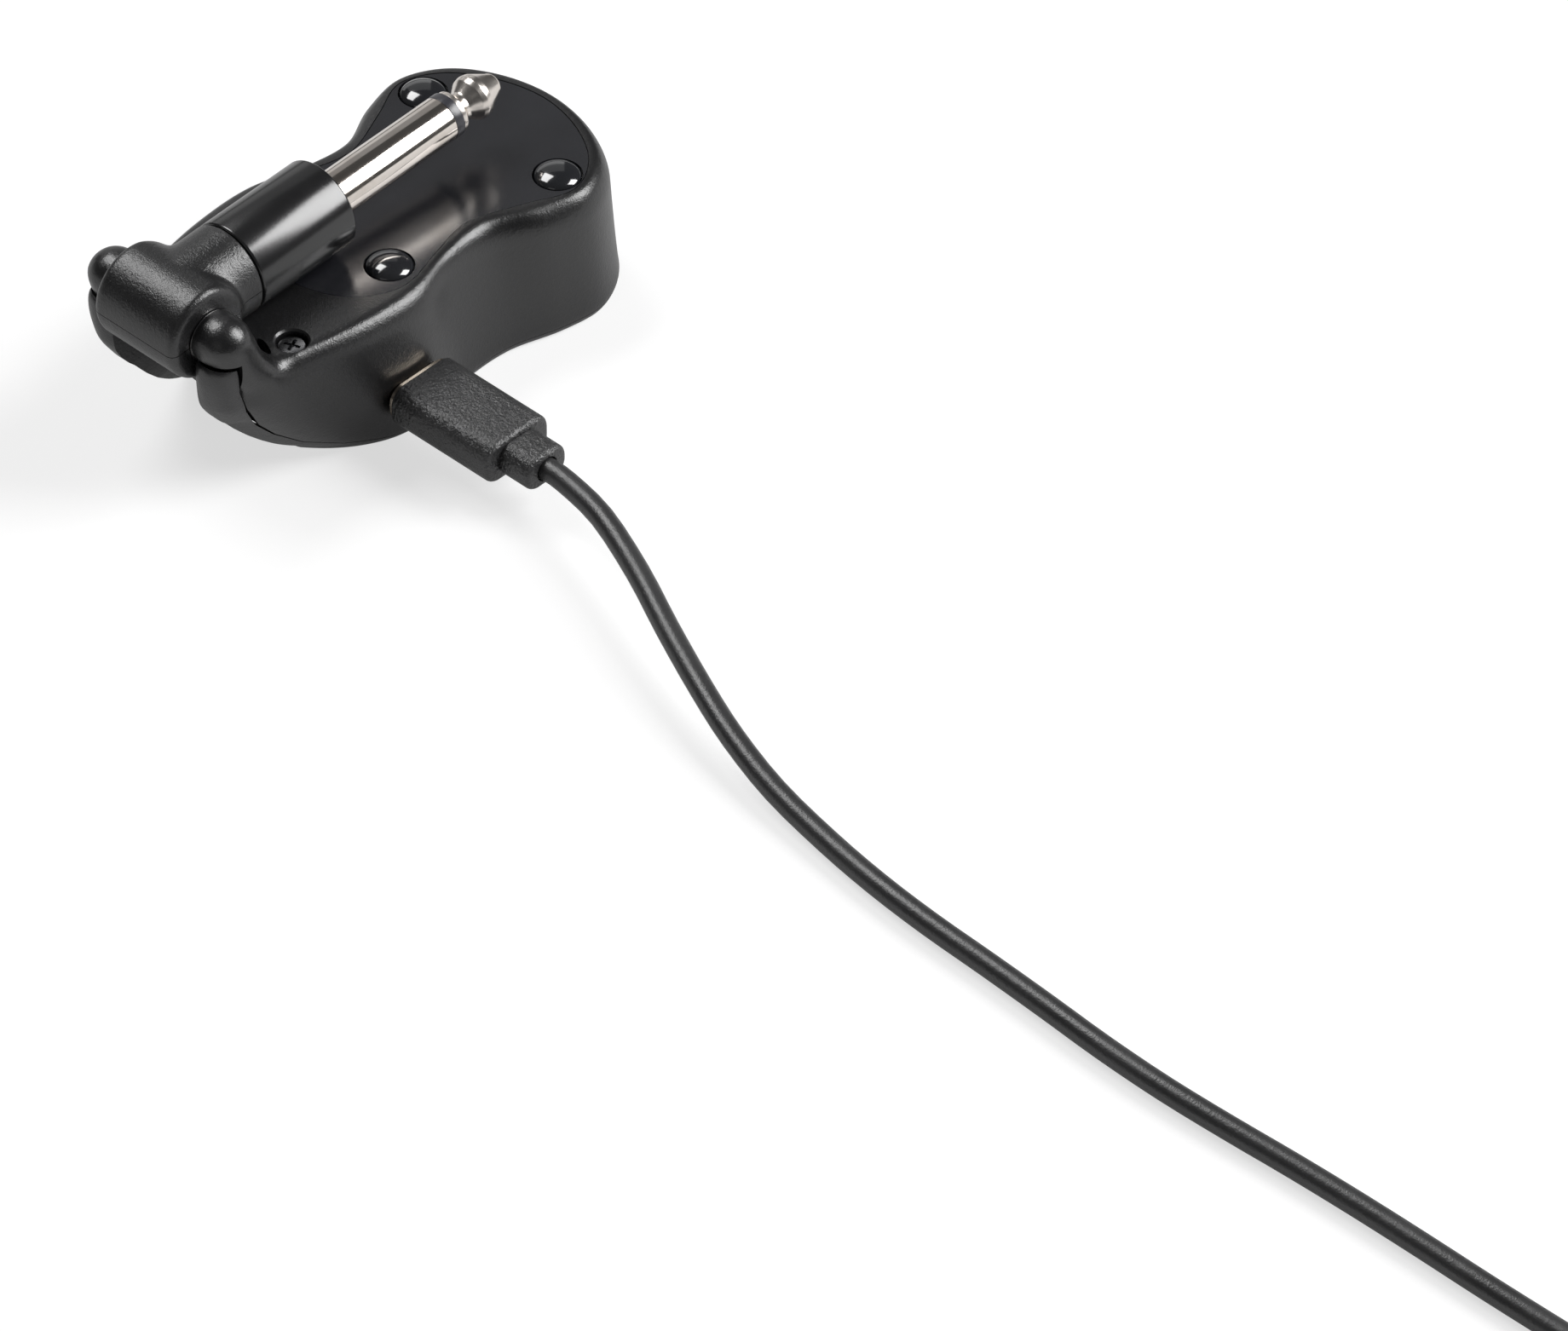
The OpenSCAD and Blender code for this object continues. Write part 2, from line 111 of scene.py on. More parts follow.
def skin(name, rings, pole=False):
    # extrudes a filled circle from ring to ring; a pole closes the last ring to a point
    deselect()
    count = len(rings[0])
    bpy.ops.mesh.primitive_circle_add(vertices=count, radius=mm, fill_type="NGON")
    piece = bpy.context.object
    piece.name = name
    bpy.ops.object.mode_set(mode="EDIT")
    order = list(range(count))
    for level, ring in enumerate(rings):
        if level:
            bpy.ops.mesh.extrude_region_move()
        mesh = bmesh.from_edit_mesh(piece.data)
        mesh.verts.index_update()
        mesh.verts.ensure_lookup_table()
        if level:
            order = [next(edge.other_vert(mesh.verts[i]).index for edge in mesh.verts[i].link_edges
                          if edge.other_vert(mesh.verts[i]).select) for i in order]
        for i, place in zip(order, ring):
            mesh.verts[i].co = place
        bmesh.update_edit_mesh(piece.data)
    if pole:
        bpy.ops.mesh.merge(type="CENTER")
    bpy.ops.mesh.select_all(action="SELECT")
    bpy.ops.mesh.normals_make_consistent(inside=False)
    bpy.ops.object.mode_set(mode="OBJECT")
    return piece


def rounded(corners, steps=5):
    # a profile from corners of (distance, radius, rounding): each corner becomes an arc
    points = []
    for i, (x, r, rounding) in enumerate(corners):
        here = Vector((x, r))
        if not rounding or i in (0, len(corners) - 1):
            points.append(here)
            continue
        back = (Vector(corners[i - 1][:2]) - here).normalized()
        ahead = (Vector(corners[i + 1][:2]) - here).normalized()
        half = back.angle(ahead) / 2
        reach = rounding / math.tan(half)
        centre = here + (back + ahead).normalized() * (rounding / math.sin(half))
        first, last = here + back * reach - centre, here + ahead * reach - centre
        turn = first.angle_signed(last)
        for k in range(steps + 1):
            points.append(centre + Matrix.Rotation(-turn * k / steps, 2) @ first)
    return points


def lathe(name, corners, place, sides=96, pole=False, steps=5):
    # turns a profile round the X axis of place; corners are in millimetres
    rings, smallest = [], 0.002
    for point in rounded(corners, steps):
        ring = []
        for k in range(sides):
            angle = 2 * math.pi * k / sides
            radius = max(point.y, smallest) * mm
            ring.append(place @ Vector((point.x * mm, radius * math.cos(angle), radius * math.sin(angle))))
        rings.append(ring)
    return skin(name, rings, pole)


def rod(name, start, end, radius, place, sides=96):
    # a plain round bar along the X axis of place, used to cut with
    return lathe(name, [(start, 0, 0), (start, radius, 0), (end, radius, 0), (end, 0, 0)], place, sides)


def ball(radius, place):
    # a sphere; radius and place are in metres
    deselect()
    bpy.ops.mesh.primitive_uv_sphere_add(segments=48, ring_count=32, radius=radius, location=place)
    bpy.ops.object.transform_apply(location=True, rotation=True, scale=True)
    return bpy.context.object


def block(name, low, high):
    # a plain box between two corners in millimetres, used to cut with
    deselect()
    bpy.ops.mesh.primitive_cube_add(size=1)
    piece = bpy.context.object
    piece.name = name
    size = [h - l for l, h in zip(low, high)]
    middle = [(l + h) / 2 for l, h in zip(low, high)]
    stretch = Matrix.Diagonal((*(Vector(size) * mm), 1))
    piece.data.transform(Matrix.Translation(Vector(middle) * mm) @ stretch)
    return piece


def finished(piece, body, material, replaced=(), angle=40):
    piece.data.materials.clear()
    piece.data.materials.append(material)
    if piece.type == "MESH":
        settle(piece, angle)
    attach(piece, body)
    if replaced:
        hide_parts(*replaced)
    return piece


# frames to turn shapes in: X runs along the axis
armFrame = Matrix.Translation(hinge) @ Matrix((
    (armAxis.x, 0, -armAxis.z, 0), (0, 1, 0, 0), (armAxis.z, 0, armAxis.x, 0), (0, 0, 0, 1)))


hingeFrame = Matrix.Translation((hinge.x, 0, hinge.z)) @ Matrix.Rotation(rightAngle, 4, "Z")


def uprightFrame(x, y):
    # x and y in millimetres
    return Matrix.Translation((x * mm, y * mm, 0)) @ Matrix.Rotation(-rightAngle, 4, "Y")


print("frame loaded, helpers ready")

cameraView = {"place": (-0.68629, -0.72385, 0.84557), "forward": (0.5391, 0.5084, -0.6715),
              "lens": 229.97, "sensor": 36, "nearest": 0.05}
bpy.ops.object.camera_add(location=cameraView["place"])
camera = bpy.context.object
camera.rotation_euler = Vector(cameraView["forward"]).to_track_quat("-Z", "Y").to_euler()
camera.data.lens = cameraView["lens"]
camera.data.sensor_width = cameraView["sensor"]
camera.data.clip_start = cameraView["nearest"]
bpy.context.scene.camera = camera


class Wire:
    # one socket of a node tree; maths on it adds the nodes
    def __init__(self, tree, socket=None):
        self.tree = tree
        self.socket = socket

    def node(self, kind, settings=None, sockets=None, output=0):
        made = self.tree.nodes.new(kind)
        for name, value in (settings or {}).items():
            setattr(made, name, value)
        for name, value in (sockets or {}).items():
            if isinstance(value, Wire):
                self.tree.links.new(value.socket, made.inputs[name])
            else:
                made.inputs[name].default_value = value
        return Wire(self.tree, made.outputs[output])

    def maths(self, operation, first, second):
        return self.node("ShaderNodeMath", {"operation": operation}, {0: first, 1: second})

    def __add__(self, other):
        return self.maths("ADD", self, other)

    def __radd__(self, other):
        return self.maths("ADD", other, self)

    def __mul__(self, other):
        return self.maths("MULTIPLY", self, other)

    def __rmul__(self, other):
        return self.maths("MULTIPLY", other, self)

    def __sub__(self, other):
        return self.maths("SUBTRACT", self, other)

    def __rsub__(self, other):
        return self.maths("SUBTRACT", other, self)

    def ramp(self, low, high):
        # 0 at low, 1 at high
        return self.node("ShaderNodeMapRange", {}, {"Value": self, "From Min": low, "From Max": high})

    def tint(self, dark, light):
        # a colour between two, by this value
        return self.node("ShaderNodeMix", {"data_type": "RGBA"},
                         {"Factor": self, 6: (*dark, 1), 7: (*light, 1)}, output=2)


def startMaterial(name):
    material = bpy.data.materials.new(name)
    material.use_nodes = True
    tree = material.node_tree
    shader = tree.nodes["Principled BSDF"]
    wire = Wire(tree)
    where = wire.node("ShaderNodeTexCoord", output=3)
    return material, shader, wire, where


def link(wire, shader, socketName):
    wire.tree.links.new(wire.socket, shader.inputs[socketName])


def noise(where, scale, detail=3.0, stretch=None):
    if stretch:
        where = where.node("ShaderNodeVectorMath", {"operation": "MULTIPLY"}, {0: where, 1: stretch})
    return where.node("ShaderNodeTexNoise", {}, {"Vector": where, "Scale": scale, "Detail": detail})


def bump(height, strength, distance):
    return height.node("ShaderNodeBump", {}, {"Height": height, "Strength": strength, "Distance": distance})


def moulded(name, dark, light, rough, grainScale, grainDepth, spread=0.06, coat=0.0):
    # moulded plastic or rubber: fine grain, with slow changes of colour and polish
    material, shader, wire, where = startMaterial(name)
    slow = noise(where, 90, 4).ramp(0.3, 0.7)
    grain = noise(where, grainScale, 2)
    speck = noise(where, grainScale * 0.35, 3).ramp(0.45, 0.75)
    link((slow * 0.7 + speck * 0.3).tint(dark, light), shader, "Base Color")
    link(slow * spread + grain * (spread * 0.8) + (rough - spread * 0.9), shader, "Roughness")
    link(bump(grain + speck * 0.5, 1.0, grainDepth), shader, "Normal")
    uniform = {"Specular IOR Level": 0.9, "Coat Weight": coat, "Coat Roughness": 0.12}
    for socketName, value in uniform.items():
        shader.inputs[socketName].default_value = value
    return material


def metal(name, colour, worn, rough, stretch, depth):
    # turned or drawn metal: fine lines along one way, and a little tarnish
    material, shader, wire, where = startMaterial(name)
    lines = noise(where, 900, 4, stretch)
    tarnish = noise(where, 160, 4).ramp(0.45, 0.8)
    link(tarnish.tint(colour, worn), shader, "Base Color")
    link(lines * 0.06 + tarnish * 0.08 + (rough - 0.05), shader, "Roughness")
    link(bump(lines, 1.0, depth), shader, "Normal")
    shader.inputs["Metallic"].default_value = 1.0
    return material


def foilMaterial():
    material, shader, wire, where = startMaterial("cellFoil")
    crinkle = noise(where, 420, 5)
    link(crinkle.tint((0.5, 0.51, 0.53), (0.72, 0.73, 0.75)), shader, "Base Color")
    link(crinkle * 0.3 + 0.2, shader, "Roughness")
    link(bump(crinkle, 0.8, 0.15 * mm), shader, "Normal")
    shader.inputs["Metallic"].default_value = 1.0
    return material


def lensMaterial():
    material, shader, wire, where = startMaterial("clearLens")
    haze = noise(where, 700, 3)
    link(haze.tint((0.62, 0.68, 0.65), (0.75, 0.8, 0.77)), shader, "Base Color")
    link(haze * 0.1 + 0.08, shader, "Roughness")
    shader.inputs["Transmission Weight"].default_value = 0.6
    return material


def hookAndLoop():
    material, shader, wire, where = startMaterial("tieLoops")
    loops = where.node("ShaderNodeTexVoronoi", {}, {"Vector": where, "Scale": 3200})
    link(loops.tint((0.02, 0.02, 0.021), (0.05, 0.05, 0.052)), shader, "Base Color")
    shader.inputs["Roughness"].default_value = 0.9
    link(bump(loops, 1.0, 0.12 * mm), shader, "Normal")
    shader.inputs["Sheen Weight"].default_value = 0.4
    return material


paints = {
    "shell_black": moulded("shellBlack", (0.0072, 0.0072, 0.0077),
                           (0.0126, 0.0126, 0.0135), 0.32, 4600, 0.03 * mm),
    "front_black": moulded("frontBlack", (0.0126, 0.0126, 0.0135),
                           (0.02, 0.02, 0.0212), 0.36, 4600, 0.04 * mm),
    "label_grey": moulded("labelFilm", (0.0115, 0.0118, 0.0145),
                          (0.017, 0.0175, 0.0215), 0.2, 7000, 0.006 * mm),
    "dome_black": moulded("domeBlack", (0.0108, 0.0117, 0.0144),
                          (0.018, 0.019, 0.0216), 0.1, 2600, 0.0005 * mm, 0.03, 1.0),
    "screw_black": metal("screwOxide", (0.27, 0.27, 0.28),
                         (0.62, 0.61, 0.6), 0.24, (1, 1, 1), 0.01 * mm),
    "journal_white": moulded("acetal", (0.66, 0.66, 0.62),
                             (0.74, 0.74, 0.7), 0.45, 3000, 0.006 * mm),
    "spring_steel": metal("springSteel", (0.6, 0.6, 0.6),
                          (0.4, 0.38, 0.36), 0.28, (1, 0.1, 1), 0.006 * mm),
    "board_green": moulded("solderMask", (0.012, 0.09, 0.035),
                           (0.02, 0.13, 0.05), 0.3, 1200, 0.02 * mm),
    "shield_tin": metal("tinPlate", (0.62, 0.62, 0.6),
                        (0.45, 0.44, 0.42), 0.32, (0.2, 1, 1), 0.008 * mm),
    "cell_foil": foilMaterial(),
    "foam_grey": moulded("foamPad", (0.08, 0.08, 0.08), (0.14, 0.14, 0.14), 0.9, 2200, 0.1 * mm),
    "antenna_copper": metal("copperStrip", (0.75, 0.42, 0.28),
                            (0.5, 0.3, 0.2), 0.3, (1, 0.1, 1), 0.006 * mm),
    "switch_black": moulded("switchBlack", (0.03, 0.03, 0.03),
                            (0.05, 0.05, 0.05), 0.5, 3500, 0.01 * mm),
    "socket_steel": metal("socketSteel", (0.55, 0.54, 0.52),
                          (0.36, 0.34, 0.32), 0.3, (1, 0.1, 1), 0.006 * mm),
    "tongue_black": moulded("tongueBlack", (0.02, 0.02, 0.02),
                            (0.035, 0.035, 0.035), 0.5, 3500, 0.01 * mm),
    "lens_clear": lensMaterial(),
    "button_black": moulded("buttonRubber", (0.02, 0.02, 0.021),
                            (0.03, 0.03, 0.031), 0.6, 3800, 0.02 * mm),
    "arm_black": moulded("armBlack", (0.0072, 0.0072, 0.0077),
                         (0.0126, 0.0126, 0.0133), 0.34, 4600, 0.045 * mm),
    "collar_black": moulded("collarBlack", (0.009, 0.009, 0.0095),
                            (0.0144, 0.0144, 0.0153), 0.2, 3200, 0.003 * mm, 0.04),
    "nut_brass": metal("nutBrass", (0.75, 0.58, 0.3),
                       (0.5, 0.38, 0.2), 0.25, (1, 0.2, 0.2), 0.006 * mm),
    "plug_nickel": metal("plugNickel", (0.86, 0.8, 0.745),
                         (0.62, 0.54, 0.47), 0.13, (1, 0.05, 0.05), 0.0015 * mm),
    # the same nickel as the sleeve, but rougher, and with its colour painted lighter: painted light for how bright
    # the tip looks
    "tip_nickel_lit": metal("tipNickelLit", (0.9, 0.84, 0.785),
                        (0.7, 0.62, 0.55), 0.27, (1, 0.05, 0.05), 0.0015 * mm),
    "insulator_black": moulded("insulatorBlack", (0.028, 0.028, 0.035),
                               (0.042, 0.042, 0.052), 0.3, 4000, 0.006 * mm),
    "wire_red": moulded("wireRed", (0.4, 0.03, 0.025), (0.5, 0.05, 0.04), 0.5, 3000, 0.01 * mm),
    "usb_nickel": metal("usbNickel", (0.8, 0.7, 0.58),
                        (0.55, 0.46, 0.36), 0.2, (1, 1, 0.1), 0.002 * mm),
    "grip_black": moulded("gripBlack", (0.0245, 0.0245, 0.0254),
                          (0.037, 0.037, 0.0378), 0.4, 2600, 0.2 * mm, 0.1),
    "cable_black": moulded("cableBlack", (0.0245, 0.0245, 0.0254),
                           (0.037, 0.037, 0.0378), 0.38, 4200, 0.03 * mm, 0.08),
    "tie_black": hookAndLoop(),
    "tongue_white": moulded("tongueWhite", (0.66, 0.66, 0.66),
                            (0.76, 0.76, 0.76), 0.45, 3000, 0.008 * mm),
}
print("materials made")

lead = {
    "thick": 3.2, "coilX": -50.0, "coilY": -252.0, "outer": 19.6, "inner": 16.4, "upper": 18.0,
    "low": 1.6, "high": 4.4, "turns": 2.25, "perTurn": 36, "shift": 60.0,
    "route": [(-6.6, -40.6, 7), (-6.6, -41.4, 7), (-6.8, -45, 7), (-8.4, -52.8, 6.9), (-12.4, -63, 6.3),
              (-16.8, -72.4, 5.4), (-21, -82.2, 4.3), (-24.2, -90.8, 3.3), (-26.8, -100.4, 2.3),
              (-28.6, -111, 1.7), (-29.9, -120.5, 1.6), (-30.7, -130, 1.6), (-31.1, -140, 1.6),
              (-31.6, -150, 1.6), (-32.2, -160, 1.6), (-32.4, -170, 1.6), (-32.1, -180, 1.6),
              (-31.6, -190, 1.6), (-31.3, -200, 1.6), (-31.2, -210, 1.6), (-31.2, -220, 1.6),
              (-31, -232, 1.6), (-30.6, -244, 1.6)],
    "tail": [(-54, -270.2, 4.6), (-58, -270.9, 4.7), (-61.5, -271.5, 4.3), (-65, -271.6, 4),
             (-66, -271.6, 4)],
}


def eased(value):
    value = min(max(value, 0.0), 1.0)
    return value * value * (3 - 2 * value)


def coilPoints():
    # clockwise from the coil's +X side: one wide turn, one inside it, the rest on top
    points = []
    for k in range(int(lead["turns"] * lead["perTurn"]) + 1):
        turned = 360.0 * k / lead["perTurn"]
        inward = eased((turned - 360 + lead["shift"]) / lead["shift"])
        upward = eased((turned - 720 + lead["shift"]) / lead["shift"])
        radius = (lead["outer"] + (lead["inner"] - lead["outer"]) * inward
                  + (lead["upper"] - lead["inner"]) * upward)
        height = lead["low"] + (lead["high"] - lead["low"]) * upward
        angle = -math.radians(turned)
        points.append((lead["coilX"] + radius * math.cos(angle), lead["coilY"] + radius * math.sin(angle),
                       height))
    return points


def splinePoint(before, start, end, after, t):
    return 0.5 * (2 * start + (end - before) * t + (2 * before - 5 * start + 4 * end - after) * t ** 2
                  + (3 * start - before - 3 * end + after) * t ** 3)


def smoothLine(points, steps):
    points = [Vector(point) for point in points]
    line = []
    for i in range(len(points) - 1):
        before, after = points[max(i - 1, 0)], points[min(i + 2, len(points) - 1)]
        line += [splinePoint(before, points[i], points[i + 1], after, k / steps) for k in range(steps)]
    return line + [points[-1]]


def chargeCable():
    line = [point * mm for point in smoothLine(lead["route"] + coilPoints() + lead["tail"], 3)]
    curve = bpy.data.curves.new("chargeCable", "CURVE")
    curve.dimensions = "3D"
    curve.bevel_depth = lead["thick"] / 2 * mm
    curve.bevel_resolution = 5
    curve.use_fill_caps = True
    spline = curve.splines.new("POLY")
    spline.points.add(len(line) - 1)
    for point, place in zip(spline.points, line):
        point.co = (*place, 1)
    spline.use_smooth = True
    piece = bpy.data.objects.new("chargeCable", curve)
    bpy.context.scene.collection.objects.link(piece)
    finished(piece, "charge_lead", paints["cable_black"],
             ["charge_cable", "cable_coil", "cable_tail"])
    length = sum((b - a).length for a, b in zip(line, line[1:]))
    print(f"cable {length:.3f} m")
    return piece, length


cable, cableLength = chargeCable()

# millimetres; outlines are halves, as (x, y) from the far end to the hinge end
caseShape = {
    "foot": [(38.2, 0), (36.7, 8.4), (32.7, 15), (26.4, 18.3), (19.8, 17.8), (12, 15.6), (4, 15.6),
             (-3, 17), (-9, 16.6), (-14, 13.8), (-17.6, 10), (-20, 5.4), (-20.8, 0)],
    "base": [(38.95, 0), (37.4, 8.8), (33.3, 15.6), (26.8, 19.15), (20, 18.6), (12, 16.3), (4, 16.4),
             (-3.5, 18.3), (-10, 18.1), (-15.5, 15.6), (-20, 11.4), (-23.2, 6.2), (-24.5, 0)],
    "rim": [(37.9, 0), (36.4, 8.3), (32.4, 14.9), (26.2, 18.1), (19.4, 17.2), (12, 13.7), (4, 14.2),
            (-4, 16.6), (-13, 16.4), (-22.5, 14.8), (-31, 13.4), (-35.8, 8.6), (-37.6, 0)],
    "top": [(36.2, 0), (34.8, 7.3), (30.9, 13.3), (24.9, 16.1), (18.4, 13.9), (12, 11.3), (4.6, 12.2),
            (-3.5, 14.2), (-13, 14), (-22.5, 12.6), (-30, 11), (-34, 7), (-35.6, 0)],
    "label": [(35.5, 0), (34, 7.2), (30.2, 13.2), (24.6, 15.9), (18.2, 13.3), (10.4, 10.5), (3.4, 11.9),
              (-3.1, 13.6), (-7.6, 12.5), (-11, 9.5), (-13, 5), (-13.6, 0)],
    "baseHeight": 1.5, "rimHeight": 17.6, "shoulder": 15.6, "outlineSteps": 8,
    "wall": 1.8, "voxel": 0.36, "labelDepth": 0.5, "labelGap": 0.1,
    "parting": [(45, 1.2, 0.08), (-10, 1.2, 0.08), (-17, 2.2, 0.1), (-22, 4.2, 0.12), (-26, 7.5, 0.2),
                (-28.6, 10.6, 0.3), (-31, 15, 0.38), (-32.4, 19.4, 0.42), (-32.7, 24, 0.42)],
    "feet": [(25.4, -12.3), (-2.5, -9.35), (-2.5, 9.35), (25.4, 12.3)],
    "wellRadius": 3.35, "wellFloor": 18.7,
    "screws": [(-21.65, -10.95), (-21.65, 10.95)], "screwTop": 19.25, "screwHead": 2.15,
    "posts": [(-21.65, -10.95, 2.6, 14.9), (-21.65, 10.95, 2.6, 14.9), (-9, -9, 1.5, 4.4), (-9, 9, 1.5, 4.4),
              (28, -9, 1.5, 4.4), (28, 9, 1.5, 4.4)],
    "earY": 9.8, "earRadius": 3.75, "slot": 7.7, "crossRoom": 6.95, "stemRoom": 6.75,
    "journalRadius": 2.5, "pocket": (-25.1, 9.3), "pocketTurn": 22, "pocketStretch": 3.0,
    "portX": -6.6, "portZ": 7.0, "portWide": 9.24, "portHigh": 3.5,
    "buttons": [(-5.0, 4.75), (7.0, 2.95), (16.0, 1.5)],
}
topHeight = bodyTop / mm


def outline(half, steps):
    # a closed outline from its half, mirrored in the XZ plane
    points = [Vector(point) for point in half]
    mirrored = [Vector((point.x, -point.y)) for point in points]
    side = []
    for i in range(len(points) - 1):
        before = mirrored[1] if i == 0 else points[i - 1]
        after = mirrored[-2] if i == len(points) - 2 else points[i + 2]
        side += [splinePoint(before, points[i], points[i + 1], after, k / steps) for k in range(steps)]
    return side + [points[-1]] + [Vector((point.x, -point.y)) for point in side[:0:-1]]


def between(first, second, share):
    return [a.lerp(b, share) for a, b in zip(first, second)]


def inset(points, distance):
    moved = []
    for i, point in enumerate(points):
        along = points[(i + 1) % len(points)] - points[i - 1]
        moved.append(point + Vector((-along.y, along.x)).normalized() * distance)
    return moved


def level(points, height):
    return [Vector((point.x, point.y, height)) * mm for point in points]


outlines = {name: outline(caseShape[name], caseShape["outlineSteps"])
            for name in ("foot", "base", "rim", "top")}


def wallAt(height):
    # the wall flares out towards the base
    share = max(height - caseShape["baseHeight"], 0) / (caseShape["rimHeight"] - caseShape["baseHeight"])
    return between(outlines["base"], outlines["rim"], share ** 0.75)


def prongGap(half, more):
    # the gap between the two prongs that carry the ears; its inner end slants
    points = [(-27.5 + more, 20.2), (-19.5 + more, -1), (-60, -1), (-60, 20.2)]
    return skin("prongGap", [[Vector((x, y, z)) * mm for x, z in points] for y in (-half, half)])


def prongSpace():
    # the gap itself, wider towards the surface it stands on
    wide = caseShape["slot"]
    right = [(wide + 3.3, -1), (wide + 2.3, 1.5), (wide + 1.4, 3.8), (wide + 0.7, 6),
             (wide + 0.25, 8.5), (wide, 12), (wide, topHeight + 1)]
    points = right + [(-y, z) for y, z in reversed(right)]
    across = skin("across", [[Vector((x, y, z)) * mm for y, z in points] for x in (-62, 0)])
    return cut(prongGap(wide + 3.5, 0), across, "INTERSECT")


def column(name, levels, side):
    # a round post through levels of (height, x, y, radius)
    rings = []
    turns = [2 * math.pi * k / 48 for k in range(48)]
    for height, x, y, wide in levels:
        rings.append([Vector((x + wide * math.cos(a), side * y + wide * math.sin(a), height)) * mm
                      for a in turns])
    return skin(name, rings)


def caseBlank(earParts):
    # the outside of the case as one solid, with the ears or what lies under them run into it
    rings = []
    for k in range(5):  # rounded lower edge
        angle = rightAngle * k / 4
        rings.append(level(between(outlines["foot"], outlines["base"], math.sin(angle)),
                           caseShape["baseHeight"] * (1 - math.cos(angle))))
    for height in (2.2, 3.2, 4.6, 6.4, 8.4, 10.6, 13):
        rings.append(level(wallAt(height), height))
    start = caseShape["shoulder"]
    for k in range(9):  # rounded shoulder
        angle = rightAngle * k / 8
        height = start + (topHeight - start) * math.sin(angle)
        rings.append(level(between(wallAt(start), outlines["top"], 1 - math.cos(angle)), height))
    blank = skin("caseBlank", rings)
    parts = [blank]
    for side in (-1, 1):
        parts += earParts(side)
    blank = joined("caseBlank", parts)
    modify(blank, "REMESH", mode="VOXEL", voxel_size=caseShape["voxel"] * mm, adaptivity=0.0)
    # the roots of the ears are smoothed into the case much more than the rest
    near = blank.vertex_groups.new(name="nearEars")
    for vertex in blank.data.vertices:
        place = vertex.co / mm
        share = eased((-22.5 - place.x) / 3) * eased((abs(place.y) - 5) / 2)
        share *= eased((place.z - 10) / 4) * (1 - eased((place.z - 24.5) / 2))
        near.add([vertex.index], share, "REPLACE")
    modify(blank, "SMOOTH", factor=0.5, iterations=90, vertex_group="nearEars")
    modify(blank, "SMOOTH", factor=0.5, iterations=6)
    blank.vertex_groups.clear()
    return blank


def ear(side):
    # a ball at the hinge, its root beside the crossbar, a neck, and a ridge that falls away to the shoulder
    radius = caseShape["earRadius"]
    neck = column("earNeck", [(13.5, -27.6, 9.8, 2.0), (17, -29.0, 10.0, 3.0), (19.5, -30.0, 10.05, 3.6),
                              (22, -31.1, 10.0, 3.8), (24, -31.8, 9.9, 3.8), (25.5, -32.2, 9.85, 3.75)], side)
    ridge = column("earRidge", [(14, -22.4, 11.4, 2.4), (16.6, -24.8, 11.6, 2.8), (18.2, -26.8, 11.4, 2.9),
                                (19.6, -28.4, 11.0, 3.0), (21.4, -29.9, 10.5, 3.2), (23.6, -31.2, 10.1, 3.5),
                                (25.6, -31.9, 9.9, 3.7)], side)
    ends = sorted((side * (caseShape["slot"] - 1.2), side * caseShape["earY"]))
    end = ball(radius * mm, (hinge.x, side * caseShape["earY"] * mm, hinge.z))
    return [neck, ridge, end, rod("earRoot", *ends, radius, hingeFrame, 64)]


def earSeat(side):
    # the front shell rises under the ball
    return [column("earSeat", [(12, -31.0, 9.2, 2.0), (16, -32.5, 9.6, 3.1), (20.5, -33.2, 9.8, 3.3),
                               (24, -33.2, 9.8, 3.3)], side)]


def sideCutter(shifted):
    # everything below the parting line; shifted is 1 for the front shell's edge, 0 for the rear one's
    line = caseShape["parting"]
    points = []
    for i, (x, z, gap) in enumerate(line):
        ahead = Vector(line[min(i + 1, len(line) - 1)][:2]) - Vector(line[max(i - 1, 0)][:2])
        down = Vector((ahead.y, -ahead.x)).normalized() * -1
        points.append(Vector((x, z)) + down * gap * shifted)
    points += [Vector((-48, points[-1].y)), Vector((-48, -6)), Vector((45, -6))]
    return skin("partingBlock", [[Vector((p.x, y, p.y)) * mm for p in points] for y in (-30, 30)])


def armRoom():
    half = caseShape["slot"]
    return [rod("crossRoom", -half, half, caseShape["crossRoom"], hingeFrame, 128),
            rod("stemRoom", -30, 30, caseShape["stemRoom"], armFrame, 128)]


def stadiumRing(wide, high, place, count=24):
    # a ring of points round a slot outline in the XZ plane of place
    ring = []
    for k in range(2 * count):
        angle = rightAngle - math.pi * (k % count) / (count - 1) + (0 if k < count else math.pi)
        centre = (wide - high) / 2 * (1 if k < count else -1)
        ring.append(place @ Vector((centre + high / 2 * math.cos(angle), 0, high / 2 * math.sin(angle))))
    return ring


def portAt(y):
    return Matrix.Diagonal((mm, mm, mm, 1)) @ Matrix.Translation((caseShape["portX"], y, caseShape["portZ"]))


def room(bottom, gap):
    # the room inside the walls from a height upwards; the prongs are solid
    wall, rim = caseShape["wall"], caseShape["rimHeight"]
    rings = [level(inset(wallAt(height), wall + gap), height) for height in (bottom, 4, 6, 9, 12)]
    rings.append(level(inset(outlines["rim"], wall + 0.3 + gap), rim - 0.4))
    inside = skin("room", rings)
    cut(inside, prongGap(caseShape["slot"] + wall + gap, wall + gap))
    return cut(inside, block("prongs", (-60, -30, -1), (gap - 24.2, 30, 30)))


def lipAndPosts():
    # the lip that stands up inside the rear shell, with the posts for the screws and the board
    fitted = block("lip", (-40, -30, 0), (40, 30, caseShape["wall"] + 0.001))
    for x, y, radius, top in caseShape["posts"]:
        cut(fitted, rod("post", 0, top, radius, uprightFrame(x, y), 48), "UNION")
    return cut(fitted, room(1, 0.1), "INTERSECT")


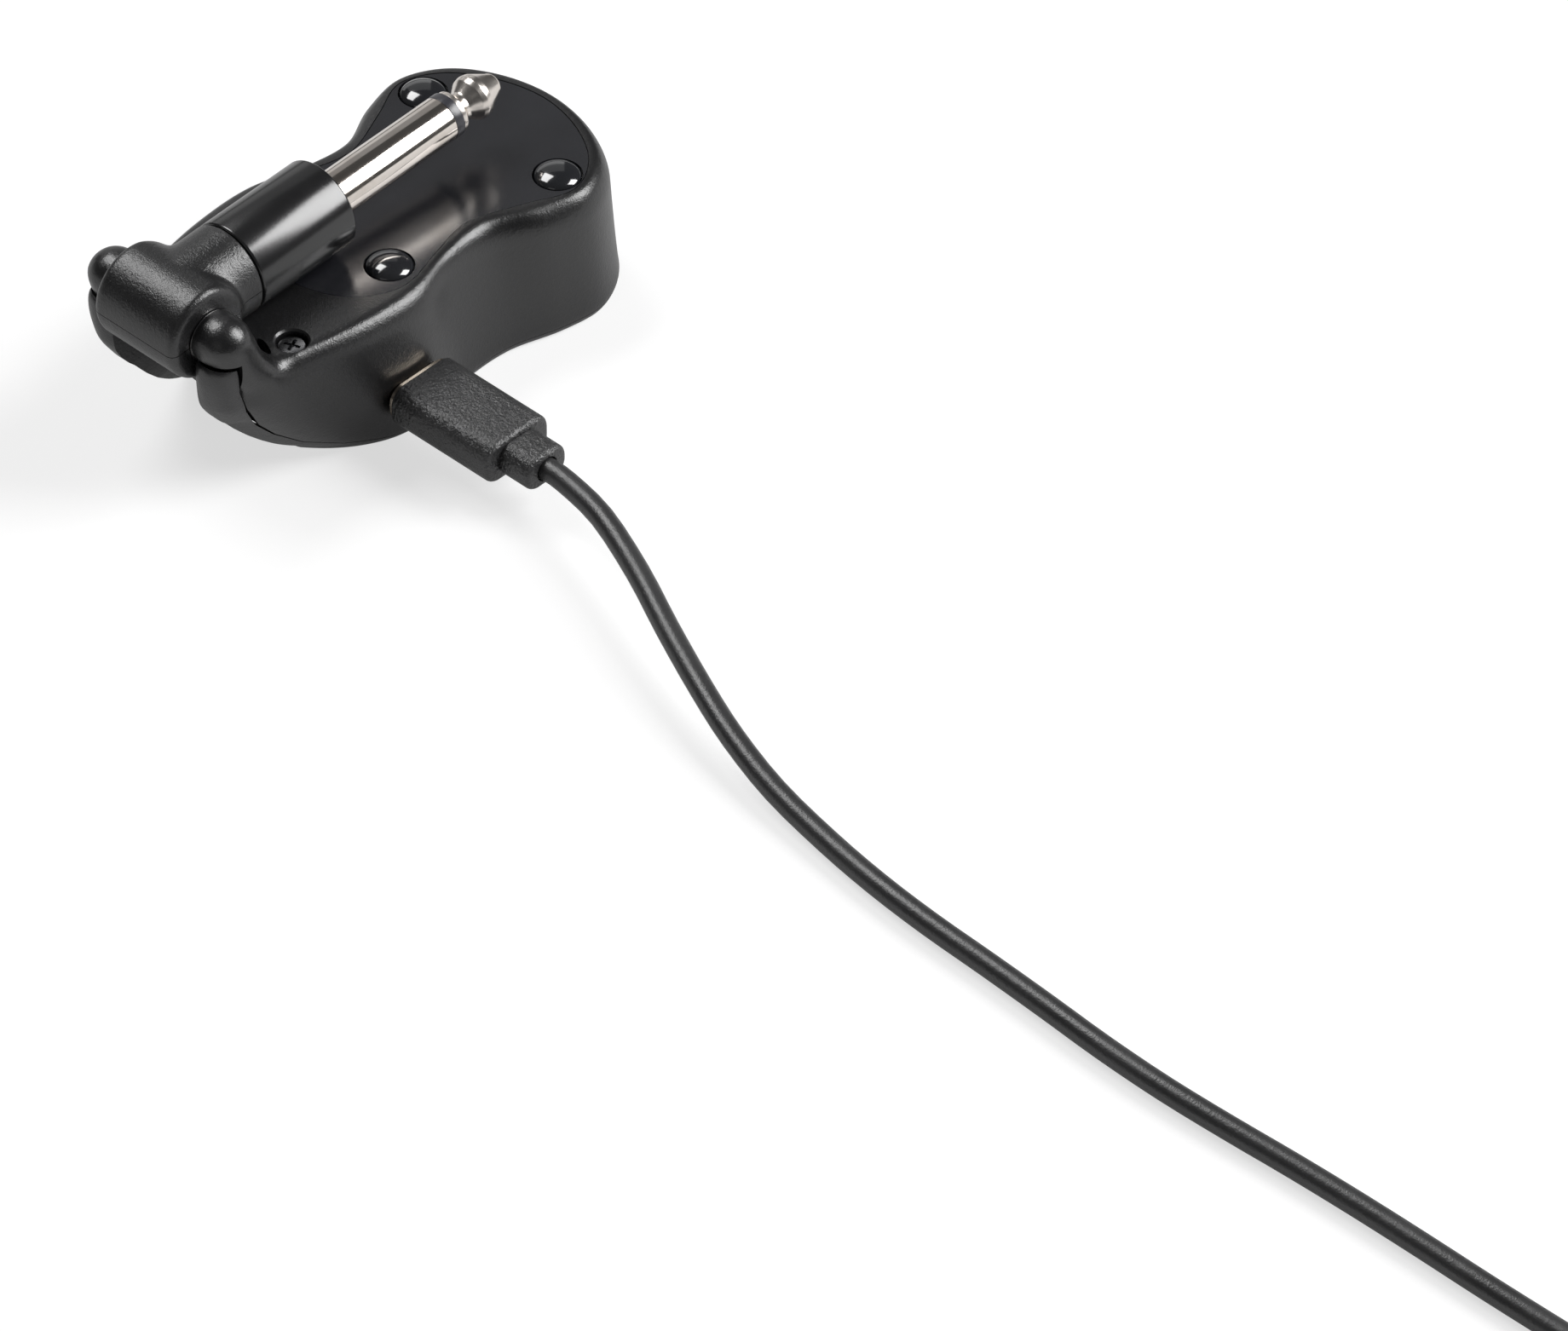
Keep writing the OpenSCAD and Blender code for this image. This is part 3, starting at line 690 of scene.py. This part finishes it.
def makeFrontShell():
    # what is below the parting line, hollow, with holes for the buttons, the light and the screws
    front = caseBlank(earSeat)
    front.name = "frontShell"
    for cutter in armRoom() + [prongSpace()]:
        cut(front, cutter)
    cut(front, sideCutter(1), "INTERSECT")
    for side in (-1, 1):
        place = (hinge.x, side * caseShape["earY"] * mm, hinge.z)
        cut(front, ball((caseShape["earRadius"] + 0.15) * mm, place))
    cut(front, room(caseShape["wall"], 0))
    cut(front, lipAndPosts(), "UNION")
    for x, radius in caseShape["buttons"]:
        cut(front, rod("buttonHole", -1, 4, radius, uprightFrame(x, 0), 64))
    for x, y in caseShape["screws"]:
        cut(front, rod("screwHole", 9.5, 18, 1, uprightFrame(x, y), 32))
    finished(front, "case", paints["front_black"], ["front_shell"], 35)


def screwSeat(rear, x, y):
    # a recess for the head with a bevelled mouth, and a path for the shank
    head, floor = caseShape["screwHead"], caseShape["screwTop"] - 1.4
    recess = [(floor, 0, 0), (floor, head, 0), (topHeight - 0.25, head, 0), (topHeight + 0.25, head + 0.5, 0),
              (topHeight + 3, head + 0.5, 0), (topHeight + 3, 0, 0)]
    cut(rear, lathe("screwRecess", recess, uprightFrame(x, y), 64))
    cut(rear, rod("screwPath", 10, 20, 1.3, uprightFrame(x, y), 32))


def journalSeatAndPocket(rear, side):
    # the journal's hole in the ear, and a small pocket in the top beside it
    ends = sorted((side * 5.0, side * 12.0))
    cut(rear, rod("journalSeat", *ends, caseShape["journalRadius"], hingeFrame, 64))
    x, y = caseShape["pocket"]
    pocket = lathe("pocket", [(18.6, 0, 0), (18.6, 0.5, 0), (19.6, 0.65, 0), (23, 0.65, 0), (23, 0, 0)],
                   uprightFrame(0, 0), 32)
    pocket.data.transform(Matrix.Translation((x * mm, side * y * mm, 0))
                          @ Matrix.Rotation(side * math.radians(caseShape["pocketTurn"]), 4, "Z")
                          @ Matrix.Diagonal((1, caseShape["pocketStretch"], 1, 1)))
    cut(rear, pocket)


def makeRearShell():
    # what is above the parting line, hollow, with the whole of the ears
    rear = caseBlank(ear)
    rear.name = "rearShell"
    for cutter in armRoom() + [prongSpace()]:
        cut(rear, cutter)
    cut(rear, sideCutter(0))
    cut(rear, room(0.9, 0))
    recess = inset(outline(caseShape["label"], caseShape["outlineSteps"]), -caseShape["labelGap"])
    cut(rear, skin("labelRecess", [level(recess, height) for height in
                                   (topHeight - caseShape["labelDepth"], topHeight + 3)]))
    floor, radius = caseShape["wellFloor"], caseShape["wellRadius"]
    for x, y in caseShape["feet"]:
        cut(rear, rod("well", floor, topHeight + 3, radius, uprightFrame(x, y)))
    for x, y in caseShape["screws"]:
        screwSeat(rear, x, y)
    for side in (-1, 1):
        journalSeatAndPocket(rear, side)
    cut(rear, skin("portMouth", [stadiumRing(caseShape["portWide"], caseShape["portHigh"], portAt(y))
                                 for y in (-10, -22)]))
    finished(rear, "case", paints["shell_black"], ["rear_shell"], 35)


makeRearShell()
makeFrontShell()
print("case made")

footShape = {"radius": 3.15, "bottom": -1.3, "side": -0.35, "rise": 1.3, "steps": 10}


def domeFeet():
    # a plug with a domed head, set in each well
    shape = footShape
    profile = [(shape["bottom"], 0, 0), (shape["bottom"], shape["radius"], 0)]
    for k in range(shape["steps"] + 1):
        angle = rightAngle * k / shape["steps"]
        profile.append((shape["side"] + shape["rise"] * math.sin(angle),
                        shape["radius"] * math.cos(angle), 0))
    first = lathe("domeFoot1", profile, Matrix.Translation((0, 0, bodyTop)) @ uprightFrame(0, 0), pole=True)
    places = [Matrix.Translation((x * mm, y * mm, 0)) for x, y in caseShape["feet"]]
    others = [copied(first, f"domeFoot{i + 2}", place) for i, place in enumerate(places[1:])]
    first.data.transform(places[0])
    for piece in [first] + others:
        finished(piece, "case", paints["dome_black"], ["dome_feet"], 60)


screwShape = {"head": 1.95, "shank": 1.0, "headHeight": 1.3, "bottom": 10.2, "slotWide": 0.5, "slotLong": 2.3,
              "slotDeep": 0.8, "turn": 20}


def caseScrews():
    # a pan head with a cross recess, on a plain shank
    shape, top = screwShape, caseShape["screwTop"]
    under = top - shape["headHeight"]
    profile = [(shape["bottom"], 0, 0), (shape["bottom"], shape["shank"], 0), (under, shape["shank"], 0),
               (under, shape["head"], 0), (top, shape["head"], 0.35), (top, 0, 0)]
    screw = lathe("caseScrew1", profile, uprightFrame(0, 0), 72)
    for angle in (shape["turn"], shape["turn"] + 90):
        arm = block("slot", (-shape["slotLong"] / 2, -shape["slotWide"] / 2, top - shape["slotDeep"]),
                    (shape["slotLong"] / 2, shape["slotWide"] / 2, top + 1))
        modify(arm, "BEVEL", width=0.12 * mm, segments=2)
        arm.data.transform(Matrix.Rotation(math.radians(angle), 4, "Z"))
        cut(screw, arm)
    places = [Matrix.Translation((x * mm, y * mm, 0)) for x, y in caseShape["screws"]]
    twin = copied(screw, "caseScrew2", places[1])
    screw.data.transform(places[0])
    for piece in (screw, twin):
        finished(piece, "case", paints["screw_black"], ["case_screws"], 30)


domeFeet()
caseScrews()
print("feet and screws made")

teeShape = {"crossRadius": 6.6, "crossHalf": 7.3, "crossRound": 1.1, "stemRadius": 6.4, "stemEnd": 10.45,
            "spigotRadius": 4.6, "spigotEnd": 14.6, "voxel": 0.2, "seam": 0.05, "bore": 2.55,
            "boreFrom": 5.4, "hollow": 1.2, "wireway": 1.8}


def tee():
    # crossbar and stem, run together with a soft fillet, then parted along the seam
    shape = teeShape
    half, radius, rounding = shape["crossHalf"], shape["crossRadius"], shape["crossRound"]
    profile = [(-half, 0, 0), (-half, radius, rounding), (half, radius, rounding), (half, 0, 0)]
    cross = lathe("crossbar", profile, hingeFrame, 128, steps=6)
    stem = rod("stem", 0, shape["stemEnd"] + 1, shape["stemRadius"], armFrame, 128)
    whole = joined("tee", [cross, stem])
    modify(whole, "REMESH", mode="VOXEL", voxel_size=shape["voxel"] * mm, adaptivity=0.0)
    group = whole.vertex_groups.new(name="fillet")
    toArm = armFrame.inverted()
    for vertex in whole.data.vertices:
        place = (toArm @ vertex.co) / mm
        share = eased((place.x - 1.5) / 2.5) * (1 - eased((place.x - 8.2) / 1.4))
        group.add([vertex.index], share, "REPLACE")
    modify(whole, "SMOOTH", factor=0.5, iterations=90, vertex_group="fillet")
    modify(whole, "SMOOTH", factor=0.5, iterations=3)
    whole.vertex_groups.clear()
    end, radius = shape["stemEnd"], shape["stemRadius"]
    bevel = [(end, 0, 0), (end, radius - 0.25, 0), (end - 0.3, radius + 0.05, 0), (end - 0.3, 9, 0),
             (20, 9, 0), (20, 0, 0)]
    cut(whole, lathe("stemEnd", bevel, armFrame, 64))
    spigot = [(5, 0, 0), (5, shape["spigotRadius"], 0), (shape["spigotEnd"], shape["spigotRadius"], 0.3),
              (shape["spigotEnd"], 0, 0)]
    cut(whole, lathe("spigot", spigot, armFrame, 96), "UNION")
    for side in (-1, 1):
        ends = sorted((side * shape["boreFrom"], side * 9.0))
        cut(whole, rod("bore", *ends, shape["bore"], hingeFrame, 64))
    cut(whole, rod("hollow", -9, 9, shape["hollow"], hingeFrame, 48))
    cut(whole, rod("wireway", 0.2, 20, shape["wireway"], armFrame, 48))
    lower = copied(whole, "teeLowerHalf")
    for half, low, high, node in ((whole, shape["seam"], 40, "arm_upper_half"),
                                  (lower, -40, -shape["seam"], "arm_lower_half")):
        side = block("half", (-40, -40, low), (40, 40, high))
        side.data.transform(armFrame)
        cut(half, side, "INTERSECT")
        finished(half, "plug_arm", paints["arm_black"], [node], 35)
    whole.name = "teeUpperHalf"


tee()
print("tee made")

plugShape = {"collarStart": 10.6, "collarEnd": 27.2, "collarRadius": 6.4, "edge": 0.35, "inside": 4.6,
             "frontWall": 3.4, "shank": 3.0, "radius": 3.175, "sleeveStart": 18.8, "bush": 2.1, "rod": 1.2,
             "ringAt": 48.9, "ringWidth": 1.4, "length": 31.8, "neck": 2.95,
             "noseLong": 0.9, "noseRadius": 1.6}


def collar():
    # a cup with a hole in its front for the plug
    shape = plugShape
    start, end, radius, edge = shape["collarStart"], shape["collarEnd"], shape["collarRadius"], shape["edge"]
    piece = lathe("collar", [(start, 0, 0), (start, radius, edge), (end, radius, edge), (end, 0, 0)],
                  armFrame, 160)
    cut(piece, rod("inside", start - 1, end - shape["frontWall"], shape["inside"], armFrame))
    cut(piece, rod("hole", start, end + 1, shape["shank"], armFrame))
    finished(piece, "plug_arm", paints["collar_black"], ["collar"], 35)


def plug():
    # sleeve, insulating bush with its ring, and tip on its rod
    shape = plugShape
    start, shoulder, ringAt, full = shape["sleeveStart"], shape["collarEnd"], shape["ringAt"], shape["radius"]
    sleeve = lathe("plugSleeve", [(start, 0, 0), (start, shape["shank"], 0), (shoulder, shape["shank"], 0),
                                  (shoulder, full, 0), (ringAt, full, 0.08), (ringAt, 0, 0)], armFrame, 128)
    cut(sleeve, rod("bushHole", start - 1, ringAt + 1, shape["bush"], armFrame))
    finished(sleeve, "plug_arm", paints["plug_nickel"], ["plug_sleeve"], 35)

    ringEnd, bush = ringAt + shape["ringWidth"], shape["bush"] - 0.01
    profile = [(start - 0.6, 0, 0), (start - 0.6, bush, 0), (ringAt + 0.01, bush, 0),
               (ringAt + 0.01, full, 0.08), (ringEnd, full, 0.08), (ringEnd, 0, 0)]
    insulator = lathe("plugInsulator", profile, armFrame, 128)
    cut(insulator, rod("rodHole", 10, 60, shape["rod"] + 0.01, armFrame, 64))
    finished(insulator, "plug_arm", paints["insulator_black"], ["plug_insulator"], 35)

    first, neck = ringEnd + 0.01, shape["neck"]
    noseAt, noseLong = shoulder + shape["length"] - shape["noseLong"], shape["noseLong"]
    profile = [(start - 1.5, 0, 0), (start - 1.5, shape["rod"], 0), (first, shape["rod"], 0),
               (first, neck, 0.1)]
    for along, radius, rounding in ((0.75, neck, 0.12), (1.6, 2.02, 0.3), (2.3, 1.95, 0.5), (3.0, 2.45, 0.0),
                                    (3.7, 2.98, 0.6), (4.5, 3.17, 0.8), (5.3, 3.0, 0.7)):
        profile.append((ringEnd + along, radius, rounding))
    for k in range(7):
        angle = rightAngle * k / 6
        profile.append((noseAt + noseLong * math.sin(angle), shape["noseRadius"] * math.cos(angle), 0))
    tip = lathe("plugTip", profile, armFrame, 128, pole=True, steps=4)
    # the tip takes the nickel copy whose colour is painted lighter, as painted light
    finished(tip, "plug_arm", paints["tip_nickel_lit"], ["plug_tip"], 50)


collar()
plug()
print("plug made")

gripShape = {"start": 18.9, "end": 36.2, "bootEnd": 41.4, "wide": 11.4, "high": 6.2, "corner": 2.4,
             "bootWide": 7.2, "bootHigh": 5.0, "bootCorner": 2.2,
             "baseStart": 18.25, "baseWide": 10.6, "baseHigh": 5.4, "baseCorner": 2.2}


def roundRect(wide, high, corner, steps=8):
    # points round a rectangle with round corners
    points = []
    for signX, signZ, first in ((1, 1, 0), (-1, 1, 1), (-1, -1, 2), (1, -1, 3)):
        for k in range(steps + 1):
            angle = rightAngle * (first + k / steps)
            points.append(Vector((signX * (wide / 2 - corner) + corner * math.cos(angle),
                                  signZ * (high / 2 - corner) + corner * math.sin(angle))))
    return points


def bar(name, stations, place, wide, high, corner):
    # a bar along -Y of place: each station is (distance, how far its outline is drawn in)
    rings = []
    for distance, drawn in stations:
        outlinePoints = roundRect(wide - 2 * drawn, high - 2 * drawn, max(corner - drawn, 0.15))
        rings.append([place @ (Vector((p.x, -distance, p.y)) * mm) for p in outlinePoints])
    return skin(name, rings)


def endRound(distance, radius, opening, steps=4):
    # stations that round the end of a bar; opening is True at its first end
    stations = []
    for k in range(steps + 1):
        angle = rightAngle * k / steps
        if opening:
            stations.append((distance + radius * (1 - math.cos(angle)), radius * (1 - math.sin(angle))))
        else:
            stations.append((distance - radius * (1 - math.sin(angle)), radius * (1 - math.cos(angle))))
    return stations


def chargePlug():
    shape = gripShape
    at = Matrix.Translation((caseShape["portX"] * mm, 0, caseShape["portZ"] * mm))
    start, end, bootEnd, baseStart = shape["start"], shape["end"], shape["bootEnd"], shape["baseStart"]
    grip = bar("usbGrip", endRound(start, 0.35, True) + endRound(end, 0.75, False), at,
               shape["wide"], shape["high"], shape["corner"])
    finished(grip, "charge_lead", paints["grip_black"], ["usb_c_grip"], 30)
    base = bar("usbBase", [(baseStart, 0.1), (baseStart + 0.1, 0), (start + 0.3, 0)], at,
               shape["baseWide"], shape["baseHigh"], shape["baseCorner"])
    finished(base, "charge_lead", paints["usb_nickel"], (), 30)
    stations = [(end - 0.3, 0.6), (end + 0.05, 0.15), (end + 0.5, 0)] + endRound(bootEnd, 0.7, False)
    boot = bar("usbBoot", stations, at, shape["bootWide"], shape["bootHigh"], shape["bootCorner"])
    cut(boot, bar("cableHole", [(bootEnd - 0.7, 0), (bootEnd + 1, 0)], at, 3.6, 3.6, 1.79))
    finished(boot, "charge_lead", paints["grip_black"], ["usb_c_boot"], 30)


farShape = {"x": -65.0, "y": -271.6, "z": 4.0, "gripStart": 6, "gripEnd": 26, "length": 38,
            "bootWide": 7.0, "bootHigh": 5.0, "bootCorner": 2.2, "gripWide": 15.4, "gripHigh": 8.0,
            "gripCorner": 2.4, "shellWide": 12, "shellHigh": 4.5, "shellWall": 0.3, "windowAt": 3}


def farPlug():
    shape = farShape
    at = Matrix.Translation((shape["x"] * mm, shape["y"] * mm, shape["z"] * mm))
    at = at @ Matrix.Rotation(-rightAngle, 4, "Z")
    start, end, length = shape["gripStart"], shape["gripEnd"], shape["length"]
    boot = bar("farBoot", endRound(0, 0.8, True) + [(start, 0)], at,
               shape["bootWide"], shape["bootHigh"], shape["bootCorner"])
    finished(boot, "charge_lead", paints["grip_black"], ["usb_a_boot"], 30)
    grip = bar("farGrip", endRound(start, 0.8, True) + endRound(end, 0.4, False), at,
               shape["gripWide"], shape["gripHigh"], shape["gripCorner"])
    finished(grip, "charge_lead", paints["grip_black"], ["usb_a_grip"], 30)
    wide, high, wall = shape["shellWide"], shape["shellHigh"], shape["shellWall"]
    shell = bar("farShell", [(end, 0), (length - 0.2, 0), (length, 0.15)], at, wide, high, 0.5)
    inside = [(end + 0.6, 0), (length + 2, 0)]
    cut(shell, bar("shellInside", inside, at, wide - 2 * wall, high - 2 * wall, 0.3))
    for x in (-shape["windowAt"], shape["windowAt"]):
        for z in (-high / 2, high / 2):
            window = block("window", (x - 1.1, -33.2, z - 0.5), (x + 1.1, -31, z + 0.5))
            window.data.transform(at)
            cut(shell, window)
    finished(shell, "charge_lead", paints["usb_nickel"], ["usb_a_shell"], 30)


tieShape = {"x": -68.0, "y": -252.0, "half": 4.0, "wide": 6.0, "top": 7.0, "thick": 0.6}


def cableTie():
    # a strap over the turns, down to the surface on both sides
    shape = tieShape
    deselect()
    bpy.ops.mesh.primitive_cube_add(size=1)
    strap = bpy.context.object
    strap.name = "cableTie"
    size = (2 * shape["half"] * mm, shape["wide"] * mm, shape["top"] * mm)
    middle = (shape["x"] * mm, shape["y"] * mm, size[2] / 2)
    strap.data.transform(Matrix.Translation(middle) @ Matrix.Diagonal((*size, 1)))
    selectOnly(strap)
    bpy.ops.object.mode_set(mode="EDIT")
    mesh = bmesh.from_edit_mesh(strap.data)
    for face in mesh.faces:
        face.select_set(abs(face.normal.z + 1) < 0.1 or abs(face.normal.y) > 0.9)
    bpy.ops.mesh.delete(type="FACE")
    bpy.ops.mesh.select_all(action="SELECT")
    bpy.ops.mesh.subdivide(number_cuts=5)
    bpy.ops.object.mode_set(mode="OBJECT")
    modify(strap, "SOLIDIFY", thickness=shape["thick"] * mm, offset=-1)
    modify(strap, "BEVEL", width=0.15 * mm, segments=2, limit_method="ANGLE")
    finished(strap, "charge_lead", paints["tie_black"], ["cable_tie"], 40)


chargePlug()
farPlug()
cableTie()
print("lead's plugs made")

# the CAD nodes that still show get the same finishes
for entry in frame["record"]["subparts"]:
    node = frame["nodes"][entry["node"]]
    if not node.hide_render:
        node.data.materials.clear()
        node.data.materials.append(paints[entry["material_slot"]])

onLead = [bpy.data.objects[name] for name in
          ("usbGrip", "usbBase", "usbBoot", "cableTie", "farBoot", "farGrip", "farShell")]
onLead += [frame["nodes"]["usb_c_shell"], frame["nodes"]["usb_a_tongue"]]

studio = {
    "floorGrey": 0.42, "floorLift": 0.66, "liftInGloss": 0.4, "sky": 0.06,
    # name: direction, distance, size, radiance; together about 1 on an upward face
    "boxes": {"rightBox": ((0.56, -0.52, 0.6), 1.2, (0.6, 0.8), 9.5),
              "backBox": ((0.5, 0.66, 0.6), 1.4, (0.8, 0.6), 0.2),
              "farBox": ((0.5, 0.8, 0.25), 1.6, (1.2, 0.5), 0.5),
              "overheadBox": ((-0.02, 0.56, 0.83), 1.3, (0.75, 0.5), 7.0),
              "frontBox": ((-0.85, -0.25, 0.45), 1.6, (0.8, 0.5), 0.3)},
}


def studioFloor():
    # a pale matt floor, lifted to white for the camera, clear pieces and, less, for gloss
    deselect()
    bpy.ops.mesh.primitive_plane_add(size=8)
    floor = bpy.context.object
    floor.name = "studioFloor"
    material = bpy.data.materials.new("paleFloor")
    material.use_nodes = True
    wire = Wire(material.node_tree)
    seen = wire.node("ShaderNodeLightPath", output="Is Camera Ray")
    glossy = wire.node("ShaderNodeLightPath", output="Is Glossy Ray")
    through = wire.node("ShaderNodeLightPath", output="Is Transmission Ray")
    lift = wire.maths("MAXIMUM", wire.maths("MAXIMUM", seen, through), glossy * studio["liftInGloss"])
    shader = wire.tree.nodes["Principled BSDF"]
    grey = studio["floorGrey"]
    uniform = {"Base Color": (grey, grey, grey, 1), "Roughness": 0.9, "Specular IOR Level": 0.1,
               "Emission Color": (1, 1, 1, 1)}
    for socketName, value in uniform.items():
        shader.inputs[socketName].default_value = value
    link(lift * studio["floorLift"], shader, "Emission Strength")
    floor.data.materials.append(material)


def softbox(name, direction, distance, size, radiance):
    # a flat lamp that faces the object
    direction = Vector(direction).normalized()
    deselect()
    bpy.ops.object.light_add(type="AREA", location=direction * distance)
    lamp = bpy.context.object
    lamp.name = name
    lamp.rotation_euler = direction.to_track_quat("Z", "Y").to_euler()
    lamp.data.shape = "RECTANGLE"
    lamp.data.size, lamp.data.size_y = size
    lamp.data.energy = radiance * math.pi * size[0] * size[1]


def studioSky():
    # white behind the floor for the camera, dim for everything else
    world = bpy.data.worlds.new("studio")
    bpy.context.scene.world = world
    world.use_nodes = True
    straight = Wire(world.node_tree).node("ShaderNodeLightPath", output="Is Camera Ray")
    background = world.node_tree.nodes["Background"]
    link(straight * (1 - studio["sky"]) + studio["sky"], background, "Strength")
    background.inputs["Color"].default_value = (1, 1, 1, 1)


studioFloor()
for boxName, settings in studio["boxes"].items():
    softbox(boxName, *settings)
studioSky()
print("studio set")

deselect()
